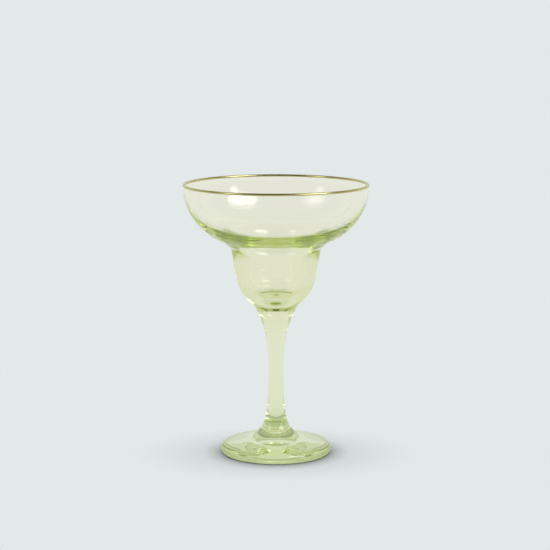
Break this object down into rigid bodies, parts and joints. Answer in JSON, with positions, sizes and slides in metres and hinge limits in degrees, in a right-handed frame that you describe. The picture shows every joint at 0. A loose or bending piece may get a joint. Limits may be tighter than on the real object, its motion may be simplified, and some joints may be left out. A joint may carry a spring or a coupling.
{
  "type": "margarita glass",
  "caption": "Stemmed margarita glass: a small deep cup opening through a step into a wide shallow coupe, on a solid waisted stem and a domed foot, with a gilded rim.",
  "frame": {"origin": "middle of the circle on which the glass stands, at table level", "axes": "+Z is the axis of turning and points up out of the bowl; X and Y are alike"},
  "size_m": [0.114, 0.114, 0.1679],
  "materials": {
    "glass": "clear pale green, fire polished",
    "gold": "thin fired gold, polished"
  },
  "bodies": {
    "root": {"gold_rim": "gold", "bowl": "glass", "stem": "glass", "foot": "glass"}
  },
  "joints": []
}
